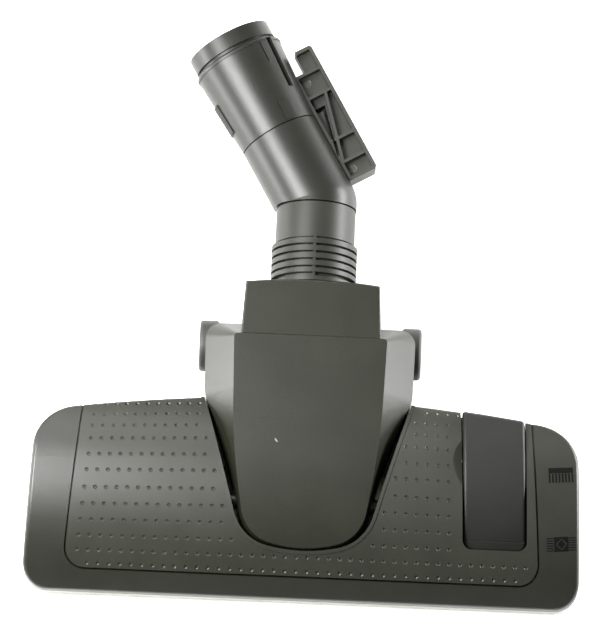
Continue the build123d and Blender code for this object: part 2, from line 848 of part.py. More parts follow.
def pedal_side(drop, skirt_drop):
    """Side view of the pedal with its crown lowered by drop."""
    ahead = (-pedal_ahead, pedal_top(-pedal_ahead, drop))
    crest = (crest_ahead, pedal_top(crest_ahead, drop))
    behind = (pedal_behind, pedal_top(pedal_behind, drop))
    with BuildSketch(pedal_plane) as side:
        with BuildLine():
            ThreePointArc(ahead, (-pedal_ahead / 2, pedal_top(-pedal_ahead / 2, drop)), crest)
            ThreePointArc(crest, (pedal_behind / 2, pedal_top(pedal_behind / 2, drop)), behind)
            Polyline(behind, (pedal_behind, -skirt_drop), (-pedal_ahead, -skirt_drop), ahead)
        make_face()
    return side.sketch


with BuildPart() as pedal:
    extrude(pedal_side(0, pedal_skirt_drop), amount=pedal_width, both=True)
    extrude(pedal_plan(0), amount=above_all, mode=Mode.INTERSECT)
    extrude(head_plan(pedal_rear_inset), amount=above_all, mode=Mode.INTERSECT)
    pedal_crown = pedal.faces().filter_by(lambda face: face.normal_at().Z > 0.5)
    fillet(pedal_crown.edges().sort_by(Axis.Y)[-1:], pedal_rear_round)
    pedal_crown = pedal.faces().filter_by(lambda face: face.normal_at().Z > 0.5)
    pedal_sides = pedal_crown.edges().filter_by(lambda edge: abs(edge.tangent_at(0.5).Y) > 0.5)
    fillet(pedal_sides, pedal_edge_round)
    with BuildPart(mode=Mode.SUBTRACT):
        extrude(pedal_side(pedal_skin, 2 * pedal_skirt_drop), amount=pedal_width, both=True)
        extrude(pedal_plan(-pedal_skirt), amount=above_all, mode=Mode.INTERSECT)
        extrude(head_plan(pedal_rear_inset + pedal_skirt), amount=above_all, mode=Mode.INTERSECT)
    with BuildSketch(pedal_plane):
        with Locations((pedal_groove_inset - pedal_ahead, pedal_top(pedal_groove_inset - pedal_ahead, 0))):
            Rectangle(pedal_groove_width, 2 * pedal_groove_depth)
    extrude(amount=pedal_width, both=True, mode=Mode.SUBTRACT)
    with BuildSketch(pedal_plane):
        Circle(pedal_boss_radius)
        with Locations((0, pedal_top(0, pedal_skin / 2) / 2)):
            Rectangle(pedal_skirt, pedal_top(0, pedal_skin / 2))
    extrude(amount=pedal_width / 2 - pedal_skirt / 2, both=True)
    with BuildSketch(Plane(pedal_plane.origin, x_dir=(1, 0, 0), z_dir=-pedal_plane.y_dir)):
        with Locations((0, pedal_foot_arm)):
            Circle(pedal_foot_radius)
    extrude(amount=-pedal_top(pedal_foot_arm, pedal_skin / 2))
    with BuildSketch(pedal_plane):
        Circle(pedal_pin_radius + running_gap)
    extrude(amount=pedal_width, both=True, mode=Mode.SUBTRACT)
save(pedal, "pedal")

# Brush frame: two bars joined at their ends, on four guide posts, with a lift post for the pedal
foot_tip_height = pedal_pivot_height + pedal_foot_arm * sin(rest_tilt)
brush_middle = (brush_front_depth + brush_rear_depth) / 2
brush_span = brush_rear_depth - brush_front_depth
with BuildPart() as brush_frame:
    with BuildSketch(Plane.XY.offset(brush_bar_bottom)):
        with Locations((0, y_at(brush_middle))):
            Rectangle(2 * brush_side_x + brush_bar_width, brush_span + brush_bar_width)
            Rectangle(2 * brush_side_x - brush_bar_width, brush_span - brush_bar_width, mode=Mode.SUBTRACT)
        with Locations(*guide_spots):
            Circle(guide_radius + guide_gap, mode=Mode.SUBTRACT)
    extrude(amount=brush_bar_height)
    with BuildSketch(Plane.XY.offset(brush_bar_bottom)):
        with Locations(*[(0, y_at(depth)) for depth in brush_depths]):
            Rectangle(bristle_length + 2 * bristle_clearance, bristle_width + 2 * bristle_clearance)
    extrude(amount=bristle_seat + bristle_clearance, mode=Mode.SUBTRACT)
    with BuildSketch(Plane.XY.offset(brush_bar_top)):
        with Locations((pedal_x, y_at(brush_rear_depth))):
            Circle(lift_post_radius)
    extrude(amount=foot_tip_height - lift_post_gap - brush_bar_top)
save(brush_frame, "brush_frame")

# Bristle strips, clipped into the bars
for depth, depth_name in ((brush_front_depth, "front"), (brush_rear_depth, "rear")):
    with BuildPart() as bristle_strip:
        with BuildSketch(Plane.XY.offset(bristle_lift)):
            with Locations((0, y_at(depth))):
                Rectangle(bristle_length, bristle_width)
        extrude(amount=brush_bar_bottom + bristle_seat - bristle_lift)
    save(bristle_strip, f"bristle_strip_{depth_name}")

# Leaf springs that lift the brush frame, bowed between the base and its end bars
leaf_top = brush_bar_bottom - leaf_play
leaf_low = floor_thickness + leaf_play
leaf_y = y_at(brush_middle)
leaf_inner_span = leaf_half_span - leaf_end
with BuildPart() as brush_lift_springs:
    for side in (-1, 1):
        with BuildSketch(Plane.YZ.offset(side * brush_side_x)):
            with BuildLine():
                ThreePointArc(
                    (leaf_y - leaf_half_span, leaf_low), (leaf_y, leaf_top), (leaf_y + leaf_half_span, leaf_low)
                )
                Line((leaf_y + leaf_half_span, leaf_low), (leaf_y + leaf_inner_span, leaf_low))
                ThreePointArc(
                    (leaf_y + leaf_inner_span, leaf_low),
                    (leaf_y, leaf_top - leaf_thickness),
                    (leaf_y - leaf_inner_span, leaf_low),
                )
                Line((leaf_y - leaf_inner_span, leaf_low), (leaf_y - leaf_half_span, leaf_low))
            make_face()
        extrude(amount=leaf_width / 2, both=True)
save(brush_lift_springs, "brush_lift_springs")

# Neck cover: tongue with sloping cheeks and the flat block behind, a thin shell
collar_hole_plane = Plane.XZ.offset(-y_at(block_rear - 2 * arm_wall))
collar_hole_length = 3 * arm_wall + block_bow
with BuildPart() as neck_cover:
    with BuildSketch(Plane.XY.offset(split_height)):
        add(block_plan(0))
    extrude(amount=block_height - split_height)
    block_top = neck_cover.faces().sort_by(Axis.Z)[-1]
    fillet(block_top.edges().sort_by(Axis.Y)[1:], block_edge_round)
    add(upper_form(0))
    add(upper_form(arm_wall), mode=Mode.SUBTRACT)
    with BuildSketch(Plane.XY.offset(split_height)):
        add(block_plan(arm_wall))
    extrude(amount=block_height - split_height - arm_wall, mode=Mode.SUBTRACT)
    with BuildSketch(collar_hole_plane):
        with Locations((0, neck_height)):
            Circle(collar_core_radius + spigot_gap)
    extrude(amount=-collar_hole_length, mode=Mode.SUBTRACT)
save(neck_cover, "neck_cover")

# Neck tray: lower half of the arm with the trunnions, the suction mouth and the wheel wells
well_inner = wheel_outer - wheel_width - wheel_well_gap
pin_start = opening_corner_half - arm_gap - arm_wall
pin_end = bearing_inner + bearing_width - trunnion_end_gap
with BuildPart() as neck_tray:
    extrude(skirt_plan(0), amount=split_height)
    extrude(block_plan(0), amount=split_height)
    extrude(lower_side(0, 0), amount=beyond_sides, both=True, mode=Mode.INTERSECT)
    with BuildPart(mode=Mode.SUBTRACT):
        extrude(skirt_plan(arm_wall), amount=split_height)
        with BuildSketch():
            with Locations((0, y_at(cheek_rear / 2))):
                Rectangle(2 * (well_inner - arm_wall), 2 * cheek_rear)
        extrude(amount=split_height, mode=Mode.INTERSECT)
        extrude(block_plan(arm_wall), amount=split_height)
        extrude(lower_side(arm_wall, mouth_drop), amount=beyond_sides, both=True, mode=Mode.INTERSECT)
    for side in (-1, 1):
        with BuildSketch(Plane.YZ.offset(side * well_inner)):
            with Locations((wheel_y, wheel_radius)):
                Circle(wheel_radius + wheel_well_gap)
        extrude(amount=side * 2 * wheel_width, mode=Mode.SUBTRACT)
        with BuildSketch(Plane.YZ.offset(side * (well_inner - arm_wall))):
            with Locations((wheel_y, wheel_radius)):
                Circle(axle_radius + axle_boss_wall)
        extrude(amount=-side * (well_inner - arm_wall - axle_inner))
        with BuildSketch(Plane.YZ.offset(side * axle_inner)):
            with Locations((wheel_y, wheel_radius)):
                Circle(axle_radius)
        extrude(amount=side * wheel_outer, mode=Mode.SUBTRACT)
        with BuildSketch(Plane.YZ.offset(side * pin_start)):
            with Locations((tilt_y, tilt_height)):
                Circle(trunnion_radius)
        extrude(amount=side * (pin_end - pin_start))
    with BuildSketch(collar_hole_plane):
        with Locations((0, neck_height)):
            Circle(collar_core_radius + spigot_gap)
    extrude(amount=-collar_hole_length, mode=Mode.SUBTRACT)
save(neck_tray, "neck_tray")

# Wheels with soft treads on stub axles
tread_inner = wheel_radius - tread_thickness
for side, side_name in ((-1, "left"), (1, "right")):
    wheel_plane = Plane.YZ.offset(side * (wheel_outer - wheel_width))
    with BuildPart() as axle:
        with BuildSketch(Plane.YZ.offset(side * axle_inner)):
            with Locations((wheel_y, wheel_radius)):
                Circle(axle_radius)
        extrude(amount=side * (wheel_outer - axle_inner - axle_end_gap))
    save(axle, f"axle_{side_name}")
    with BuildPart() as wheel:
        with BuildSketch(wheel_plane):
            with Locations((wheel_y, wheel_radius)):
                Circle(tread_inner)
                Circle(axle_radius + running_gap, mode=Mode.SUBTRACT)
        extrude(amount=side * (wheel_width - tread_lip))
        with BuildSketch(Plane.YZ.offset(side * (wheel_outer - tread_lip))):
            with Locations((wheel_y, wheel_radius)):
                Circle(tread_inner - wheel_rim)
                Circle(axle_radius + hub_wall, mode=Mode.SUBTRACT)
        extrude(amount=-side * wheel_dish, mode=Mode.SUBTRACT)
    save(wheel, f"wheel_{side_name}")
    with BuildPart() as tread:
        with BuildSketch(wheel_plane):
            with Locations((wheel_y, wheel_radius)):
                Circle(wheel_radius)
                Circle(tread_inner, mode=Mode.SUBTRACT)
        extrude(amount=side * wheel_width)
        tread_rims = tread.edges().filter_by(GeomType.CIRCLE)
        fillet(tread_rims.filter_by(lambda edge: edge.radius > tread_inner + 0.1), tread_round)
    save(tread, f"tread_{side_name}")

# Ribbed collar: neck tube of raised bands between grooves, with axial webs and a smooth end
neck_axis = Axis((0, 0, neck_height), (0, 1, 0))


def ring_profile(inner, outer, start, end):
    """Section of a ring about the neck axis between two depths."""
    with BuildSketch(Plane.XY.offset(neck_height)) as section:
        with Locations(((inner + outer) / 2, y_at((start + end) / 2))):
            Rectangle(outer - inner, end - start)
    return section.sketch


swivel_bore = collar_core_radius - swivel_wall
band_start = block_rear + block_bow + collar_block_gap
band_end = groove_depths[-1] + collar_groove_width / 2
groove_widths = [collar_relief_width] + [collar_groove_width] * (collar_groove_count - 1)
with BuildPart() as ribbed_collar:
    revolve(ring_profile(duct_radius, collar_core_radius, collar_front, swivel_start), neck_axis)
    revolve(ring_profile(collar_core_radius, collar_tube_radius, band_end, seam_depth), neck_axis)
    with BuildPart():
        revolve(ring_profile(collar_core_radius, collar_band_radius, band_start, band_end), neck_axis)
        for depth, width in zip(groove_depths, groove_widths):
            revolve(
                ring_profile(collar_core_radius, collar_band_radius, depth - width / 2, depth + width / 2),
                neck_axis,
                mode=Mode.SUBTRACT,
            )
    with BuildPart():
        with BuildSketch(Plane.XZ.offset(-y_at(band_start))):
            with Locations((0, neck_height)):
                Circle(collar_band_radius - collar_web_drop)
                Circle(collar_core_radius, mode=Mode.SUBTRACT)
                with BuildSketch(mode=Mode.INTERSECT):
                    with Locations((0, neck_height)):
                        Rectangle(collar_web_width, 2 * collar_band_radius)
                        Rectangle(2 * collar_band_radius, collar_web_width)
        extrude(amount=-(band_end - band_start))
save(ribbed_collar, "ribbed_collar")

# Swivel bush and seal inside the collar's smooth end
with BuildPart() as swivel_ring:
    revolve(ring_profile(swivel_bore, collar_core_radius, swivel_start + seal_length, seam_depth), neck_axis)
save(swivel_ring, "swivel_ring")

with BuildPart() as swivel_seal:
    revolve(ring_profile(duct_radius, collar_core_radius, swivel_start, swivel_start + seal_length), neck_axis)
save(swivel_seal, "swivel_seal")

# Elbow: spigot in the swivel bush, ball-shaped bend and straight arm to the connector
bend_point = (0, y_at(bend_depth), neck_height)
arm_direction = (-sin(radians(elbow_bend)), cos(radians(elbow_bend)), 0)
arm_side_direction = (cos(radians(elbow_bend)), sin(radians(elbow_bend)), 0)
bend_plane = Plane(bend_point, x_dir=(1, 0, 0), z_dir=(0, 1, 0))
arm_plane = Plane(bend_point, x_dir=arm_side_direction, z_dir=arm_direction)
spigot_end = swivel_start + seal_length + seam_gap
with BuildPart() as elbow:
    with BuildSketch(bend_plane):
        Circle(elbow_radius)
    extrude(amount=-(bend_offset - seam_gap))
    with BuildSketch(bend_plane):
        Circle(swivel_bore - running_gap)
    extrude(amount=-(bend_depth - spigot_end))
    with Locations(bend_point):
        Sphere(elbow_radius)
    with BuildSketch(arm_plane):
        Circle(elbow_radius)
    extrude(amount=elbow_length)
    with BuildPart(mode=Mode.SUBTRACT):
        with BuildSketch(bend_plane.offset(-(bend_offset - seam_gap))):
            Circle(2 * elbow_radius)
            Circle(swivel_bore - running_gap, mode=Mode.SUBTRACT)
        extrude(amount=-elbow_radius)
    with BuildSketch(bend_plane):
        Circle(duct_radius)
    extrude(amount=-bend_depth, mode=Mode.SUBTRACT)
    with Locations(bend_point):
        Sphere(duct_radius, mode=Mode.SUBTRACT)
    with BuildSketch(arm_plane):
        Circle(duct_radius)
    extrude(amount=elbow_length, mode=Mode.SUBTRACT)
    with BuildSketch(arm_plane.offset(elbow_length)):
        Circle(spigot_radius + spigot_gap)
    extrude(amount=-spigot_length, mode=Mode.SUBTRACT)
save(elbow, "elbow")

# Connector: cone with flange, groove and rim, the latch slot with its ledge and ridge, and grip ribs
connector_plane = arm_plane.offset(elbow_length)
side_plane = Plane(connector_plane.origin, x_dir=arm_side_direction, z_dir=(0, 0, 1))
connector_axis = Axis(connector_plane.origin, arm_direction)
connector_length = cone_length + rim_length
cone_rise = (flange_radius - flange_step - elbow_radius) / (cone_length - flange_length - connector_seam)
groove_radius = flange_radius - flange_groove_depth
latch_angle = latch_slot_angle - 90
ridge_turn = degrees((latch_slot_width + latch_ridge_width) / 2 / flange_radius)
ledge_turn = degrees((latch_slot_width + latch_ledge_width) / 2 / flange_radius)
rib_fan = grip_rib_step * (grip_rib_count - 1)


def cone_radius(station):
    """Radius of the cone at a station along it."""
    return elbow_radius + cone_rise * (station - connector_seam)


def cone_strip(start, end, drop, rise, width, turns):
    """Strips along the cone at turns about its axis, from drop below its surface to rise above it."""
    with BuildPart() as strip:
        with BuildSketch(side_plane):
            with BuildLine():
                Polyline(
                    (cone_radius(start) - drop, start),
                    (cone_radius(start) + rise, start),
                    (cone_radius(end) + rise, end),
                    (cone_radius(end) - drop, end),
                    close=True,
                )
            make_face()
        revolve(axis=connector_axis)
        with BuildSketch(connector_plane):
            for turn in turns:
                with PolarLocations(flange_radius, 1, start_angle=turn):
                    Rectangle(flange_radius, width)
        extrude(amount=cone_length, mode=Mode.INTERSECT)
    return strip.part


rib_turns = [180 + grip_rib_lift - rib_fan / 2 + index * grip_rib_step for index in range(grip_rib_count)]
grip_ribs = cone_strip(
    grip_rib_start, grip_rib_start + grip_rib_length, strip_overlap, grip_rib_height, grip_rib_width, rib_turns
)
latch_pad = cone_strip(
    latch_pad_start,
    latch_pad_start + latch_pad_length,
    strip_overlap,
    latch_pad_height,
    latch_pad_width,
    [latch_angle - latch_pad_offset],
)
latch_ridge = cone_strip(
    latch_slot_start,
    latch_slot_end,
    strip_overlap,
    latch_ridge_height,
    latch_ridge_width,
    [latch_angle + ridge_turn],
)
latch_ledge = cone_strip(
    latch_slot_start,
    latch_slot_end,
    latch_ledge_depth,
    strip_overlap,
    latch_ledge_width,
    [latch_angle - ledge_turn],
)
latch_slot = cone_strip(
    latch_slot_start,
    latch_slot_end,
    flange_radius - duct_radius,
    strip_overlap,
    latch_slot_width,
    [latch_angle],
)
latch_line = cone_strip(
    cone_length - latch_line_length,
    cone_length - flange_length,
    latch_line_depth,
    strip_overlap,
    latch_line_width,
    [latch_angle - latch_line_offset],
)
with BuildPart() as connector:
    with BuildSketch(side_plane):
        with BuildLine():
            Polyline(
                (duct_radius, -spigot_length),
                (spigot_radius, -spigot_length),
                (spigot_radius, connector_seam),
                (elbow_radius, connector_seam),
                (flange_radius - flange_step, cone_length - flange_length),
                (flange_radius, cone_length - flange_length),
                (flange_radius, cone_length - flange_chamfer),
                (flange_radius - flange_chamfer, cone_length),
                (groove_radius, cone_length),
                (groove_radius, cone_length + flange_groove_width),
                (rim_radius, cone_length + flange_groove_width),
                (rim_radius, connector_length),
                (tube_bore_radius, connector_length),
                (tube_bore_radius, stop_depth),
                (duct_radius, stop_depth),
                close=True,
            )
        make_face()
    revolve(axis=connector_axis)
    add([grip_ribs, latch_pad, latch_ridge])
    add([latch_ledge, latch_slot, latch_line], mode=Mode.SUBTRACT)
save(connector, "connector")

# Parking rail: ribbed hook beside the elbow, open towards the top, with a slotted brace
rail_foot = elbow_radius - rail_seat
rail_start = rail_end - rail_length
rail_inner = rail_reach - rail_wall
free_end = rail_end - rail_ribs[0] + rail_rib_wall / 2
brace_top = (rail_inner - brace_top_inset, rail_end - rail_ribs[1])
brace_foot = (rail_foot + rail_foot_wall, rail_end - rail_ribs[3])
brace_run = (brace_top[0] - brace_foot[0]) / (brace_top[1] - brace_foot[1])


def brace_reach(station):
    """Reach of the brace's middle line at a station along the rail."""
    return brace_top[0] - brace_run * (brace_top[1] - station)


slot_high = rail_end - brace_slot_start
slot_low = rail_end - brace_slot_end
pocket_ends = (0,) + rail_ribs + (rail_length,)
with BuildPart() as parking_rail:
    with BuildSketch(side_plane.offset(-rail_height / 2)):
        with BuildLine():
            Polyline(
                (rail_foot, rail_start),
                (rail_reach - rail_corner, rail_start),
                (rail_reach, rail_start + rail_corner),
                (rail_reach, rail_end - rail_tip_corner),
                (rail_reach - rail_tip_corner, rail_end),
                (rail_free_reach, rail_end),
                (rail_free_reach, free_end),
                (rail_foot, free_end),
                close=True,
            )
        make_face()
    extrude(amount=rail_height)
    with BuildSketch(side_plane.offset(rail_height / 2 - rail_pocket_depth)):
        for index in range(len(pocket_ends) - 1):
            upper_wall = rail_wall if index == 0 else rail_rib_wall / 2
            lower_wall = rail_wall if index == len(rail_ribs) else rail_rib_wall / 2
            high = rail_end - pocket_ends[index] - upper_wall
            low = rail_end - pocket_ends[index + 1] + lower_wall
            inner = rail_free_reach if index == 0 else rail_foot + rail_foot_wall
            with Locations(((inner + rail_inner) / 2, (high + low) / 2)):
                Rectangle(rail_inner - inner, high - low)
    extrude(amount=rail_height, mode=Mode.SUBTRACT)
    with BuildSketch(side_plane.offset(-rail_height / 2)):
        with BuildLine():
            Polyline(
                (brace_top[0] - brace_wall / 2, brace_top[1]),
                (brace_top[0] + brace_wall / 2, brace_top[1]),
                (brace_foot[0] + brace_wall / 2, brace_foot[1]),
                (brace_foot[0] - brace_wall / 2, brace_foot[1]),
                close=True,
            )
        make_face()
    extrude(amount=rail_height)
    with BuildSketch(side_plane.offset(rail_web - rail_height / 2)):
        with BuildLine():
            Polyline(
                (rail_foot + rail_foot_wall, slot_high),
                (brace_reach(slot_high) - brace_wall, slot_high),
                (brace_reach(slot_low) - brace_wall, slot_low),
                (brace_reach(slot_low) - brace_wall - brace_slot_width / 4, slot_low),
                (brace_reach(slot_high) - brace_wall - brace_slot_width, slot_high - brace_slot_width),
                (rail_foot + rail_foot_wall, slot_high - brace_slot_width),
                close=True,
            )
        make_face()
    extrude(amount=rail_height, mode=Mode.SUBTRACT)
    with BuildSketch(arm_plane):
        Circle(elbow_radius + rail_seat_gap)
    extrude(amount=elbow_length, mode=Mode.SUBTRACT)
    with BuildPart(mode=Mode.SUBTRACT):
        with BuildSketch(side_plane):
            with BuildLine():
                Polyline(
                    (0, 0),
                    (elbow_radius + rail_seat_gap, 0),
                    (cone_radius(rail_end) + rail_seat_gap, rail_end),
                    (0, rail_end),
                    close=True,
                )
            make_face()
        revolve(axis=connector_axis)
save(parking_rail, "parking_rail")
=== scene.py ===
"""Vacuum floor head: the looks of every piece around its packed construction model.

Metres, in the part's own frame: +X to the right seen from the front, +Y to the rear along the neck,
+Z up from the floor.
"""
import math

import bpy
from mathutils import Matrix, Vector


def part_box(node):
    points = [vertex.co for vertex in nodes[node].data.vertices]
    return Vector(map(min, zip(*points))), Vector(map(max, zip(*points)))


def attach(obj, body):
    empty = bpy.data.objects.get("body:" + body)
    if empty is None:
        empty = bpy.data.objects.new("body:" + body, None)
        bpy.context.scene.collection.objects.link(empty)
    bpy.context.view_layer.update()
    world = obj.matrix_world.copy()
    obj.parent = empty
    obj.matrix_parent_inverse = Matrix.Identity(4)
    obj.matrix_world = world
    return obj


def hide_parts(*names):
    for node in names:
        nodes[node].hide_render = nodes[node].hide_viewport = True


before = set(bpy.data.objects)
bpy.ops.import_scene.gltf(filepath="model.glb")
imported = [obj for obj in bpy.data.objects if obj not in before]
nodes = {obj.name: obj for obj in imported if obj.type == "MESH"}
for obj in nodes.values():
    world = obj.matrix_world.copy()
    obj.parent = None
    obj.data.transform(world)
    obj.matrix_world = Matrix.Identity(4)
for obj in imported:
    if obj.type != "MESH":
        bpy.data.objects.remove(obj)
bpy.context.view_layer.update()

# Sole base: the pale tray that closes the head from below and slides on the floor.
# It is injection-moulded in light grey ABS, satin from the tool, and screwed to the housing.
# To the eye it is warm off-white, a little cloudy, with a soft broad gloss.
mm = 0.001
colour_drift = 25 * mm
gloss_spread = 0.06
ramp_begins = 0.3
ramp_ends = 0.7


def linear(colour):
    """Linear RGBA of an sRGB hex colour."""
    channels = []
    for place in (0, 2, 4):
        share = int(colour[place : place + 2], 16) / 255
        channels.append(share / 12.92 if share <= 0.04045 else ((share + 0.055) / 1.055) ** 2.4)
    return channels + [1.0]


def add_node(tree, kind, inputs=None, **settings):
    """A new node with its settings, its input values and its incoming links."""
    node = tree.nodes.new(kind)
    for name, value in settings.items():
        setattr(node, name, value)
    for name, value in (inputs or {}).items():
        if isinstance(value, bpy.types.NodeSocket):
            tree.links.new(value, node.inputs[name])
        else:
            node.inputs[name].default_value = value
    return node


def moulded_plastic(name, deep, pale, roughness, grain, relief, ior=1.53):
    """Plastic from a mould: a colour that drifts a little, the tool's grain and an uneven gloss.

    The width of the grain and its relief are in millimetres.
    """
    material = bpy.data.materials.new(name)
    material.use_nodes = True
    tree = material.node_tree
    place = add_node(tree, "ShaderNodeTexCoord").outputs["Object"]
    drift = add_node(
        tree, "ShaderNodeTexNoise", {"Vector": place, "Scale": 1 / colour_drift, "Detail": 4.0}
    )
    speckle = add_node(
        tree, "ShaderNodeTexNoise", {"Vector": place, "Scale": 1 / (grain * mm), "Detail": 2.0}
    )
    colour = add_node(tree, "ShaderNodeValToRGB", {"Fac": drift.outputs["Fac"]})
    colour.color_ramp.elements[0].position = ramp_begins
    colour.color_ramp.elements[0].color = linear(deep)
    colour.color_ramp.elements[1].position = ramp_ends
    colour.color_ramp.elements[1].color = linear(pale)
    gloss = add_node(
        tree,
        "ShaderNodeMapRange",
        {
            "Value": speckle.outputs["Fac"],
            "To Min": roughness - gloss_spread,
            "To Max": roughness + gloss_spread,
        },
    )
    bump = add_node(tree, "ShaderNodeBump", {"Height": speckle.outputs["Fac"], "Distance": relief * mm})
    shader = tree.nodes["Principled BSDF"]
    shader.inputs["IOR"].default_value = ior
    tree.links.new(colour.outputs["Color"], shader.inputs["Base Color"])
    tree.links.new(gloss.outputs["Result"], shader.inputs["Roughness"])
    tree.links.new(bump.outputs["Normal"], shader.inputs["Normal"])
    return material


def dress(material, *names):
    """Gives nodes of the construction model their material."""
    for name in names:
        nodes[name].data.materials.clear()
        nodes[name].data.materials.append(material)


dress(
    moulded_plastic(
        "light_grey_abs_satin", "b9b7ac", "c3c1b7", roughness=0.42, grain=0.6, relief=0.02
    ),
    "sole_base",
)

# Housing screws, pedal pin, wheel axles and lift springs: the small steel parts of the head.
# They are cold-headed, turned or stamped and then zinc plated.
# The thin plating looks pale grey with a slight cloudy haze, about 1.5 mm wide.
zinc_haze_width = 1.5 * mm
zinc = bpy.data.materials.new("zinc_plated_steel")
zinc.use_nodes = True
zinc_tree = zinc.node_tree
zinc_place = add_node(zinc_tree, "ShaderNodeTexCoord").outputs["Object"]
zinc_haze = add_node(
    zinc_tree, "ShaderNodeTexNoise", {"Vector": zinc_place, "Scale": 1 / zinc_haze_width, "Detail": 3.0}
)
zinc_gloss = add_node(
    zinc_tree, "ShaderNodeMapRange", {"Value": zinc_haze.outputs["Fac"], "To Min": 0.28, "To Max": 0.45}
)
zinc_shader = zinc_tree.nodes["Principled BSDF"]
zinc_shader.inputs["Base Color"].default_value = linear("b9bbbb")
zinc_shader.inputs["Metallic"].default_value = 1.0
zinc_tree.links.new(zinc_gloss.outputs["Result"], zinc_shader.inputs["Roughness"])
dress(zinc, "housing_screws", "pedal_pin", "axle_left", "axle_right", "brush_lift_springs")

# Thread lifters: strips of red velour glued into shallow beds beside the suction mouth.
# The woven pile is about half a millimetre deep and lies slanted along the strip.
# It looks streaked that way and has a soft sheen at its rim.
pile_width = 0.5 * mm
pile_depth = 0.4 * mm
pile_lay = (0.35, 1.0, 1.0)
velour = bpy.data.materials.new("red_velour_pile")
velour.use_nodes = True
velour_tree = velour.node_tree
velour_place = add_node(velour_tree, "ShaderNodeTexCoord").outputs["Object"]
velour_lay = add_node(velour_tree, "ShaderNodeMapping", {"Vector": velour_place, "Scale": pile_lay})
velour_pile = add_node(
    velour_tree,
    "ShaderNodeTexNoise",
    {"Vector": velour_lay.outputs["Vector"], "Scale": 1 / pile_width, "Detail": 3.0},
)
velour_colour = add_node(velour_tree, "ShaderNodeValToRGB", {"Fac": velour_pile.outputs["Fac"]})
velour_colour.color_ramp.elements[0].color = linear("5d1512")
velour_colour.color_ramp.elements[1].color = linear("a8302a")
velour_bump = add_node(
    velour_tree, "ShaderNodeBump", {"Height": velour_pile.outputs["Fac"], "Distance": pile_depth}
)
velour_shader = velour_tree.nodes["Principled BSDF"]
velour_shader.inputs["Roughness"].default_value = 0.95
velour_shader.inputs["Sheen Weight"].default_value = 0.6
velour_tree.links.new(velour_colour.outputs["Color"], velour_shader.inputs["Base Color"])
velour_tree.links.new(velour_bump.outputs["Normal"], velour_shader.inputs["Normal"])
dress(velour, "thread_lifter_left", "thread_lifter_right")

# Brush frame and trunnion bearings: the works inside the head, clipped and guided on the sole base.
# They are moulded in black acetal and left as they come from the tool, dull and almost black.
dress(
    moulded_plastic(
        "black_acetal_moulded", "0d0d0d", "131312", roughness=0.6, grain=0.5, relief=0.02, ior=1.4
    ),
    "brush_frame",
    "trunnion_bearing_left",
    "trunnion_bearing_right",
)

# Bristle strips: two rows of nylon tufts, nine filaments to a tuft, stapled into a thin backing bar.
# The bar clips into the brush frame, and the filaments splay a little at their cut ends.
# Drawn filaments are smooth, so they look black with a thin bright line along each.
bar_height = 2.0 * mm
bar_edge = 0.2 * mm
tuft_pitch = 4.0 * mm
filament_radius = 0.22 * mm
filament_spacing = 0.62 * mm
filament_sides = 5
filaments_across = 3
splay = 0.35 * mm
splay_evenness = 0.3
splay_seed = 4
tip_reach = 0.01 * mm
nylon = moulded_plastic(
    "black_nylon_filament", "121212", "1f1f1e", roughness=0.35, grain=0.4, relief=0.01
)
for row in ("front", "rear"):
    low, high = [Vector(corner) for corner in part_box(f"bristle_strip_{row}")]
    middle = (low + high) / 2
    length = high.x - low.x
    width = high.y - low.y
    bpy.ops.object.select_all(action="DESELECT")
    bpy.ops.mesh.primitive_cube_add(
        size=1.0, location=(middle.x, middle.y, high.z - bar_height / 2), scale=(length, width, bar_height)
    )
    bar = bpy.context.object
    bpy.ops.object.transform_apply(location=True, rotation=True, scale=True)
    bevel = bar.modifiers.new("edges", "BEVEL")
    bevel.width = bar_edge
    bpy.ops.object.modifier_apply(modifier=bevel.name)
    filament_length = high.z - bar_height - low.z
    tuft_count = int(length / tuft_pitch)
    first_x = middle.x - (tuft_count - 1) * tuft_pitch / 2 - filament_spacing
    bpy.ops.object.select_all(action="DESELECT")
    bpy.ops.mesh.primitive_cylinder_add(
        vertices=filament_sides,
        radius=filament_radius,
        depth=filament_length,
        location=(first_x, middle.y - filament_spacing, low.z + filament_length / 2),
    )
    tufts = bpy.context.object
    bpy.ops.object.transform_apply(location=True, rotation=True, scale=True)
    for count, step in (
        (filaments_across, (filament_spacing, 0, 0)),
        (filaments_across, (0, filament_spacing, 0)),
        (tuft_count, (tuft_pitch, 0, 0)),
    ):
        array = tufts.modifiers.new("repeat", "ARRAY")
        array.count = count
        array.use_relative_offset = False
        array.use_constant_offset = True
        array.constant_offset_displace = step
        bpy.ops.object.modifier_apply(modifier=array.name)
    bpy.ops.object.mode_set(mode="EDIT")
    bpy.ops.mesh.select_all(action="DESELECT")
    bpy.ops.object.mode_set(mode="OBJECT")
    for vertex in tufts.data.vertices:
        vertex.select = vertex.co.z < low.z + tip_reach
    bpy.ops.object.mode_set(mode="EDIT")
    bpy.ops.transform.vertex_random(offset=splay, uniform=splay_evenness, seed=splay_seed)
    bpy.ops.object.mode_set(mode="OBJECT")
    for vertex in tufts.data.vertices:
        vertex.co.x = min(max(vertex.co.x, low.x), high.x)
        vertex.co.y = min(max(vertex.co.y, low.y), high.y)
        vertex.co.z = max(vertex.co.z, low.z)
    bar.select_set(True)
    tufts.select_set(True)
    bpy.context.view_layer.objects.active = bar
    bpy.ops.object.join()
    strip = bpy.context.object
    strip.name = f"bristle_row_{row}"
    strip.data.materials.append(nylon)
    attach(strip, "brush")
    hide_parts(f"bristle_strip_{row}")

